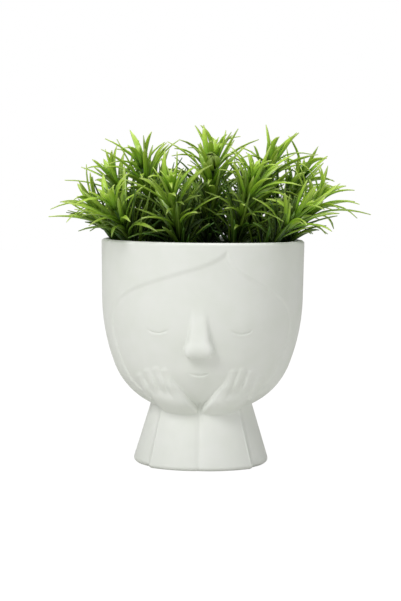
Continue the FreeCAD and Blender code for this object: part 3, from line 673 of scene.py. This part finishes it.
def drawn_in(height):
    """How much farther the hair's rounding at the foot draws the wall in than the arms' does."""
    low = np.clip(height, 0, HAIR_FOOT_ROUND)
    tight = np.clip(height, 0, FOOT_ROUND)
    drawn = HAIR_FOOT_ROUND - np.sqrt(HAIR_FOOT_ROUND**2 - (HAIR_FOOT_ROUND - low) ** 2)
    return drawn - (FOOT_ROUND - np.sqrt(FOOT_ROUND**2 - (FOOT_ROUND - tight) ** 2))


def head_pot():
    """The cast pot: a spun wall whose front is sculpted vertex by vertex."""
    bm = spun(pot_profile(), WALL_SECTORS)
    verts = list(bm.verts)
    places = np.array([vert.co for vert in verts])
    radius = np.hypot(places[:, 0], places[:, 1])
    turn = np.arctan2(places[:, 0], -places[:, 1])
    height = np.clip(places[:, 2], FOOT_ROUND, POT_HEIGHT - RIM_ROUND)
    plain = wall_radius(height)
    outside = radius > plain - WALL / 2 - FOOT_ROUND / 2
    outside &= places[:, 2] < POT_HEIGHT - RIM_ROUND / 2
    shown = outside & (np.abs(turn) < FRONT_HALF)
    moved = np.zeros(len(verts))
    moved[shown] = sculpted_radius(turn[shown], height[shown]) - plain[shown]
    inside = inside_hairline(places[:, 0], places[:, 1], height)
    hair = 1 - eased(0.5 + inside / HAIR_EDGE)
    moved[outside] -= (drawn_in(places[:, 2]) * hair)[outside]
    for index in np.flatnonzero(outside):
        vert = verts[index]
        grow = (radius[index] + moved[index]) / radius[index]
        vert.co = Vector((vert.co.x * grow, vert.co.y * grow, vert.co.z))
    return make_piece("sculpted_pot", bm, CERAMIC, "pot", ["head_pot"])


head_pot()


# ---------------------------------------------------------------- the liner and its foam
def liner_pot():
    """The thin tapered liner, with its rim band and rounded lip."""
    low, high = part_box("liner_pot")
    base, top = low.z / MM, high.z / MM
    rim = (high.x - low.x) / MM / 2
    foot = 36.0
    wall = 1.2
    lip = 1.3
    band = 6.0
    slope = (rim - lip - foot) / (top - base)
    bead = rim - lip - slope * band
    profile = [(0.0, base), (foot, base), (bead, top - band), (bead + lip, top - band + lip)]
    profile += arc_points((rim - 0.6, top - 0.6), 0.6, 0, 90, 3)
    profile += [(rim - lip - wall, top), (foot - wall, base + 1.6), (0.0, base + 1.6)]
    bm = spun(profile, [(0, 360, 96)])
    return make_piece("nursery_liner", bm, LINER, "plant", ["liner_pot"])


def foam_block():
    """The foam, with a chamfered edge and a crumbled top."""
    low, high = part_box("foam_block")
    base, top = low.z / MM, high.z / MM
    radius = (high.x - low.x) / MM / 2
    foot = 34.4
    crumb = 0.9
    rings = 14
    flat = radius - 1.0
    profile = [(0.0, base), (foot, base), (radius, top - 1.0)]
    profile += [(flat - flat * number / rings, top) for number in range(rings + 1)]
    bm = spun(profile, [(0, 360, 72)])
    dice = random.Random(3)
    for vert in bm.verts:
        if vert.co.z > top - 0.5:
            vert.co.z -= dice.uniform(0.0, crumb)
    return make_piece("foam_core", bm, FOAM, "plant", ["foam_block"])


liner_pot()
foam_block()


# ---------------------------------------------------------------- the sprigs
# Each sprig: where its stem leaves the foam (x, y), and its top (x, y, height over the rim).
SPRIGS = [
    (-38, -3, -66, -8, 17),
    (-27, 9, -56, 12, 36),
    (-20, -10, -38, -8, 44),
    (-10, -27, -18, -44, 30),
    (2, -8, 6, -18, 46),
    (17, -20, 30, -34, 36),
    (22, 4, 42, 8, 47),
    (31, 14, 60, 24, 38),
    (39, -2, 71, -8, 24),
    (31, -22, 58, -42, 17),
    (-18, 27, -34, 48, 36),
    (2, 17, 4, 30, 50),
    (16, 32, 30, 56, 32),
    (-4, 37, -6, 66, 18),
    (-34, -20, -52, -38, 19),
]
FOAM_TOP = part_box("foam_block")[1].z / MM
SPRIG_TOP = cad_box[1].z / MM
BLADE_WIDTH = 3.2
BLADE_THICKNESS = 0.5
BLADE_ROWS = 7
BLADE_WIDEST = 0.42     # the widest place of a solid blade, in blade lengths
BLADE_ARCH = math.radians(14)   # how far a solid blade turns down at that place
SHORTEST_EDGE = 4.0     # a solid blade's outer edges are all longer, a collar's all shorter
CURL = 6.5              # how far a blade's tip strays from the solid one's
WIDTH_RANGE = (0.7, 1.25)
FILLERS = 38            # slimmer leaves between the whorls of one sprig
FILLER_LENGTH = 32.0
FILLER_WIDTH = 2.8
FILLER_CROWDING = 0.85  # under 1 crowds them towards the foot
FILLER_MARGIN = 4       # bare stem at each end
FILLER_LEAN = (26, 14)  # degrees off the stem at its head, and more at its foot
FILLER_SWAY = 20        # degrees
FILLER_BEND = (-6, 60)  # degrees
FILLER_LENGTHS = (0.7, 1.2)
FILLER_WIDTHS = (0.75, 1.15)
UNDERGROWTH = 22        # upright leaves low on one stem, darkened there partly as painted shade
UNDERGROWTH_REACH = (0.45, 0.52)    # shares of the stem down from its head: start and run
UNDERGROWTH_LEAN = (8, 30)
UNDERGROWTH_BEND = (0, 30)
UNDERGROWTH_LENGTHS = (1.0, 1.4)
UNDERGROWTH_WIDTHS = (0.7, 1.0)
BUD_LEAVES = 5          # upright leaves at each head
FACING_BUD = 5          # the sprig whose closed bud looks at the camera
FACING_LEAVES = 9
FACING_WIDTH = 6.4
FACING = Vector((0.0, -0.9, 0.45)).normalized()
GOLDEN_TURN = math.radians(137.5)
REST_ON_RIM = 1.6       # a leaf this far over the rim may pass across it
CLEAR_OF_WALL = 1.5     # and a lower one stays this far inside the wall


def blade_half_width(share):
    """Half width of a lance-shaped blade, in blade widths, at a share of its length."""
    swelling = 0.5 + 0.5 * math.sin(math.pi / 2 * min(share / 0.3, 1))
    taper = 1 - max(0.0, (share - BLADE_WIDEST) / (1 - BLADE_WIDEST)) ** 3.2
    return 0.5 * swelling * taper


def add_blade(bm, layers, line, width, shade_and_age, upper_side):
    """One blade on a curve through root, bend and tip, folded a little along its middle."""
    root, bend, tip = line
    uv_layer, shade_and_age_layer = layers
    lean = (tip - root).normalized()
    across = lean.cross(upper_side).normalized()
    made = bmesh.ops.create_grid(bm, x_segments=2, y_segments=BLADE_ROWS, size=0.5)["verts"]
    pull = (bend - root * (1 - BLADE_WIDEST) ** 2 - tip * BLADE_WIDEST**2) / (
        2 * BLADE_WIDEST * (1 - BLADE_WIDEST)
    )
    for vert in made:
        side = vert.co.x * 2
        share = vert.co.y + 0.5
        place = root * (1 - share) ** 2 + pull * (2 * share * (1 - share)) + tip * share**2
        heading = ((pull - root) * (1 - share) + (tip - pull) * share).normalized()
        upper = across.cross(heading).normalized()
        half = width * max(blade_half_width(share), 0.03)
        # Its darkening value, partly age and partly painted shade.
        vert[shade_and_age_layer] = shade_and_age
        for loop in vert.link_loops:
            loop[uv_layer].uv = (0.5 + side / 2, share)
        vert.co = place + across * (side * half) + upper * (abs(side) * half * 0.35)
    return made


def solid_blades(name, foot, along):
    """Root, widest place and tip of every blade in a solid node, from the corners of its mesh."""
    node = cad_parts[name]
    corners = {}
    beside = {}
    for face in node.data.polygons:
        keys = []
        for index in face.vertices:
            place = node.matrix_world @ node.data.vertices[index].co / MM
            key = tuple(round(value, 2) for value in place)
            corners[key] = place
            keys.append(key)
        for key in keys:
            beside.setdefault(key, set()).update(other for other in keys if other != key)
    lines = []
    for key in sorted(beside):
        tip = corners[key]
        edges = [corners[other] for other in sorted(beside[key])]
        if len(edges) != 3 or min((edge - tip).length for edge in edges) < SHORTEST_EDGE:
            continue
        pairs = [(edges[0], edges[1]), (edges[1], edges[2]), (edges[2], edges[0])]
        one, other = max(pairs, key=lambda pair: (pair[0] - pair[1]).length)
        bend = (one + other) / 2
        run = tip - bend
        stem_place = foot + along * (tip - foot).dot(along)
        outward = (tip - stem_place).normalized()
        angle = math.atan2(run.dot(outward), run.dot(along)) - BLADE_ARCH
        first = along * math.cos(angle) + outward * math.sin(angle)
        length = run.length / (1 - BLADE_WIDEST)
        lines.append((bend - first * (length * BLADE_WIDEST), bend, tip))
    return lines


def filler_line(root, along, outward, length, angle, bend):
    """Root, widest place and tip of a leaf that leaves the stem at an angle and then bends."""
    first = along * math.cos(angle) + outward * math.sin(angle)
    second = along * math.cos(angle + bend) + outward * math.sin(angle + bend)
    middle = root + first * (length * BLADE_WIDEST)
    return root, middle, middle + second * (length * (1 - BLADE_WIDEST))


def grow_leaf(bm, layers, line, width, shade_and_age, upper_side):
    """A blade, left out where it would cross the pot's wall or rise over the highest sprig."""
    made = add_blade(bm, layers, line, width, shade_and_age, upper_side)
    for vert in made:
        over_rim = vert.co.z > POT_HEIGHT + REST_ON_RIM
        in_wall = not over_rim and vert.co.xy.length > RIM_RADIUS - WALL - CLEAR_OF_WALL
        if in_wall or vert.co.z > SPRIG_TOP:
            bmesh.ops.delete(bm, geom=made, context="VERTS")
            return


class Sprig:
    """One sprig's straight stem, its dice, and the bmesh that its leaves grow into."""

    def __init__(self, number, place):
        foot_x, foot_y, head_x, head_y, over_rim = place
        self.number = number
        self.foot = Vector((foot_x, foot_y, FOAM_TOP))
        self.head = Vector((head_x, head_y, POT_HEIGHT + over_rim))
        self.along = (self.head - self.foot).normalized()
        self.across = self.along.orthogonal().normalized()
        self.length = (self.head - self.foot).length
        self.dice = random.Random(100 + number)
        self.bm = bmesh.new()
        self.layers = (
            self.bm.loops.layers.uv.new("blade"),
            self.bm.verts.layers.float.new("shade_and_age"),
        )

    def outward(self, index, start):
        """The direction off the stem of one leaf in a golden-angle spiral."""
        return Quaternion(self.along, GOLDEN_TURN * index + start) @ self.across

    def main_blades(self, leaves):
        """The blades of the solid whorls, each with a tip that strays a little."""
        dice = self.dice
        for root, bend, tip in solid_blades(leaves, self.foot, self.along):
            depth = (self.head - root).dot(self.along) / self.length
            width = BLADE_WIDTH * dice.uniform(*WIDTH_RANGE)
            # Blades deeper down the stem are darker, partly for age and partly as painted shade.
            shade_and_age = min(1, max(0, depth * 1.3 + dice.uniform(-0.35, 0.1)))
            stray = Vector([dice.uniform(-CURL, CURL) for _ in range(3)])
            stray -= Vector((0, 0, CURL / 2))
            add_blade(self.bm, self.layers, (root, bend, tip + stray), width, shade_and_age, self.along)

    def fillers(self):
        """Slimmer leaves all along the stem."""
        dice = self.dice
        for index in range(FILLERS):
            share = ((index + 0.5) / FILLERS) ** FILLER_CROWDING
            below = (self.length - 2 * FILLER_MARGIN) * share + FILLER_MARGIN
            root = self.head - self.along * below
            lean, more = FILLER_LEAN
            angle = math.radians(lean + more * share + dice.uniform(-FILLER_SWAY, FILLER_SWAY))
            bend = math.radians(dice.uniform(*FILLER_BEND))
            size = FILLER_LENGTH * dice.uniform(*FILLER_LENGTHS)
            outward = self.outward(index, self.number)
            line = filler_line(root, self.along, outward, size, angle, bend)
            width = FILLER_WIDTH * dice.uniform(*FILLER_WIDTHS)
            # Fillers deeper down the stem are darker, partly for age and partly as painted shade.
            shade_and_age = min(1, max(0, 0.1 + 1.3 * share + dice.uniform(-0.3, 0.15)))
            grow_leaf(self.bm, self.layers, line, width, shade_and_age, self.along)

    def undergrowth(self):
        """Leaves low on the stem that grow nearly upright, darkened partly as painted shade."""
        dice = self.dice
        heading = (self.along * 0.6 + Vector((0, 0, 1))).normalized()
        for index in range(UNDERGROWTH):
            start, run = UNDERGROWTH_REACH
            share = start + run * (index + 0.5) / UNDERGROWTH
            root = self.head - self.along * (self.length * share)
            outward = self.outward(index, 3 * self.number)
            outward = (outward - heading * outward.dot(heading)).normalized()
            angle = math.radians(dice.uniform(*UNDERGROWTH_LEAN))
            size = FILLER_LENGTH * dice.uniform(*UNDERGROWTH_LENGTHS)
            bend = math.radians(dice.uniform(*UNDERGROWTH_BEND))
            line = filler_line(root, heading, outward, size, angle, bend)
            width = FILLER_WIDTH * dice.uniform(*UNDERGROWTH_WIDTHS)
            # These low leaves get the darkest colour, painted shade as well as age.
            grow_leaf(self.bm, self.layers, line, width, dice.uniform(0.7, 1.0), self.along)

    def bud(self):
        """The short upright leaves at the head, each longer and wider than the last."""
        for index in range(BUD_LEAVES):
            outward = self.outward(index, 2 * self.number)
            length, lean = 11 + 1.5 * index, math.radians(5 + 3 * index)
            line = filler_line(self.head, self.along, outward, length, lean, 0.12)
            add_blade(self.bm, self.layers, line, 2.6 + 0.25 * index, 0, self.along)

    def facing_bud(self):
        """A closed bud seen end on: cupped leaves that open and then close over each other."""
        first = FACING.orthogonal().normalized()
        for index in range(FACING_LEAVES):
            outward = Quaternion(FACING, GOLDEN_TURN * index) @ first
            opened, closed = math.radians(12 + 5 * index), math.radians(20 + 7 * index)
            length = 13 + 0.6 * index
            line = filler_line(self.head, FACING, outward, length, opened, -closed)
            add_blade(self.bm, self.layers, line, FACING_WIDTH, 0.55, -outward)


def grow_sprig(number, place):
    """All the leaves of one sprig as one piece, thickened by a modifier."""
    sprig = Sprig(number, place)
    leaves = f"sprig_{number:02d}_leaves"
    sprig.main_blades(leaves)
    sprig.fillers()
    sprig.undergrowth()
    sprig.bud()
    if number == FACING_BUD:
        sprig.facing_bud()
    name = f"leafy_sprig_{number:02d}"
    piece = make_piece(name, sprig.bm, LEAF, "plant", [leaves])
    shell = piece.modifiers.new("blade thickness", "SOLIDIFY")
    shell.thickness = BLADE_THICKNESS * MM
    shell.offset = 0


for number, place in enumerate(SPRIGS, 1):
    grow_sprig(number, place)

for name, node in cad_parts.items():
    if name.endswith("_stem"):
        for slot in node.material_slots:
            slot.material = STEM


# ---------------------------------------------------------------- floor, light and camera
PAPER = linear("d8d8d4")
GLOW = 1.12                 # brightness of the paper's white to the camera
GLOW_SHARE = 0.88           # its share of what the camera sees, the rest being lit paper
FLOOR_HALF = 3.0            # half the paper's side, in metres
WORLD_LIGHT = 0.35          # the world's strength as a light, and as the white backdrop
WORLD_SEEN = 1.0
# Soft boxes: name, place and aim in metres, side in metres, watts.
SOFT_BOXES = [
    ("key", (-0.75, -1.05, 1.1), (0, 0, 0.1), 0.8, 14.4),
    ("fill", (1.1, -0.9, 0.5), (0, 0, 0.1), 1.2, 3.4),
    ("top", (0.15, 0.05, 1.5), (0, 0, 0.15), 0.7, 9),
]


def backdrop_finish():
    """Pale seamless paper: white to the camera, and it keeps the object's shadow."""
    material = new_material("seamless_white_paper")
    paper = add(material, "ShaderNodeBsdfPrincipled", Base_Color=PAPER, Roughness=0.9)
    glow = add(material, "ShaderNodeEmission", Color=(1, 1, 1, 1), Strength=GLOW)
    seen = add(material, "ShaderNodeLightPath").outputs["Is Camera Ray"]
    part = add(material, "ShaderNodeMath", {0: seen}, operation="MULTIPLY")
    part.inputs[1].default_value = GLOW_SHARE
    both = add(material, "ShaderNodeMixShader", {"Fac": part.outputs["Value"]})
    material.node_tree.links.new(paper.outputs["BSDF"], both.inputs[1])
    material.node_tree.links.new(glow.outputs["Emission"], both.inputs[2])
    return finish(material, both.outputs["Shader"])


def floor():
    """A sheet of the paper under the object."""
    bm = bmesh.new()
    bmesh.ops.create_grid(bm, x_segments=1, y_segments=1, size=FLOOR_HALF)
    mesh = bpy.data.meshes.new("floor")
    bm.to_mesh(mesh)
    bm.free()
    mesh.materials.append(backdrop_finish())
    piece = bpy.data.objects.new("floor", mesh)
    bpy.context.scene.collection.objects.link(piece)


def soft_box(name, place, aim, size, watts):
    """A square area lamp at a place, turned to its aim."""
    lamp = bpy.data.lights.new(name, "AREA")
    lamp.shape = "SQUARE"
    lamp.size = size
    lamp.energy = watts
    holder = bpy.data.objects.new(name, lamp)
    holder.location = place
    holder.rotation_mode = "QUATERNION"
    holder.rotation_quaternion = (Vector(aim) - Vector(place)).to_track_quat("-Z", "Y")
    bpy.context.scene.collection.objects.link(holder)


def world_light():
    """Even white light all round, which the camera sees as a full white backdrop."""
    world = bpy.data.worlds.new("studio")
    world.use_nodes = True
    nodes = world.node_tree.nodes
    links = world.node_tree.links
    nodes.clear()
    seen = nodes.new("ShaderNodeLightPath")
    strength = nodes.new("ShaderNodeMix")
    strength.data_type = "FLOAT"
    strength.inputs["A"].default_value = WORLD_LIGHT
    strength.inputs["B"].default_value = WORLD_SEEN
    light = nodes.new("ShaderNodeBackground")
    light.inputs["Color"].default_value = (1, 1, 1, 1)
    output = nodes.new("ShaderNodeOutputWorld")
    links.new(seen.outputs["Is Camera Ray"], strength.inputs["Factor"])
    links.new(strength.outputs["Result"], light.inputs["Strength"])
    links.new(light.outputs["Background"], output.inputs["Surface"])
    bpy.context.scene.world = world


# The photograph's camera, in metres: turned round the object, raised, and rolled a little.
CAMERA_TURN = math.radians(1.7)
CAMERA_ROLL = math.radians(0.6)
CAMERA_DISTANCE = 1.34
CAMERA_HEIGHT = 0.190
AIM = Vector((-0.0012, 0.0, 0.1016))
LENS = 128.6


def camera():
    """The camera at the photograph's viewing angle."""
    view = bpy.data.cameras.new("camera")
    view.lens = LENS
    view.sensor_width = 36.0
    holder = bpy.data.objects.new("camera", view)
    turned = Matrix.Rotation(CAMERA_TURN, 4, "Z")
    holder.location = turned @ Vector((AIM.x, -CAMERA_DISTANCE, CAMERA_HEIGHT))
    holder.rotation_mode = "QUATERNION"
    look = (turned @ AIM - holder.location).to_track_quat("-Z", "Y")
    holder.rotation_quaternion = look @ Quaternion((0, 0, 1), CAMERA_ROLL)
    bpy.context.scene.collection.objects.link(holder)
    bpy.context.scene.camera = holder


floor()
world_light()
for soft_box_facts in SOFT_BOXES:
    soft_box(*soft_box_facts)
camera()
bpy.context.scene.view_settings.view_transform = "Standard"
